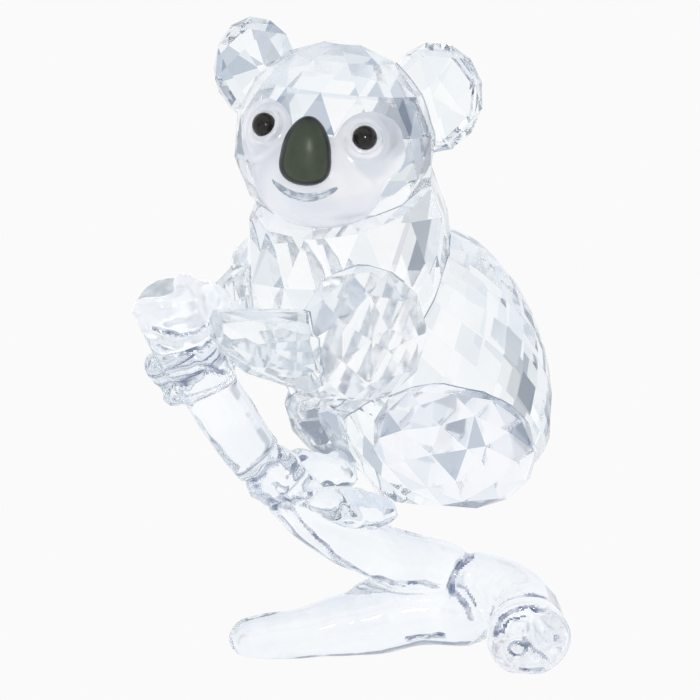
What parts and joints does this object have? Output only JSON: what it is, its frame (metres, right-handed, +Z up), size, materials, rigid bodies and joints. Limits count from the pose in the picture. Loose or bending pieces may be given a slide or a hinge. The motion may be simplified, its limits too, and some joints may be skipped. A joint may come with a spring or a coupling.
{
  "type": "cut-crystal koala figurine on a cast glass branch",
  "caption": "Clear cut-crystal koala figurine climbing a bent cast-glass branch, with black bead eyes and a smoky oval nose; it stands on the branch's limb and cut knob.",
  "frame": {"origin": "on the floor under the middle of the figurine's box", "axes": "+Z up; the figurine is shown from -Y, with the branch's sawn end towards -X and its cut knob towards +X"},
  "size_m": [0.0434, 0.0292, 0.065],
  "materials": {
    "cut_crystal": "colourless lead-free crystal, ground and polished in flat facets, smooth on the face",
    "cast_glass": "colourless pressed glass, fire-polished with soft ripples and knots, the stem's sawn end frosted",
    "black_bead": "opaque black glass bead, polished",
    "smoky_glass": "dark smoky olive cabochon, polished"
  },
  "bodies": {
    "root": {"head": "cut_crystal", "ear_left": "cut_crystal", "ear_right": "cut_crystal", "chest": "cut_crystal", "body": "cut_crystal", "arm_left": "cut_crystal", "arm_right": "cut_crystal", "thigh_left": "cut_crystal", "thigh_right": "cut_crystal", "paw_left": "cast_glass", "paw_right": "cast_glass", "foot_left": "cast_glass", "foot_right": "cast_glass", "branch_stem": "cast_glass", "branch_limb": "cast_glass", "branch_knob": "cast_glass", "eye_left": "black_bead", "eye_right": "black_bead", "nose": "smoky_glass"}
  },
  "joints": []
}
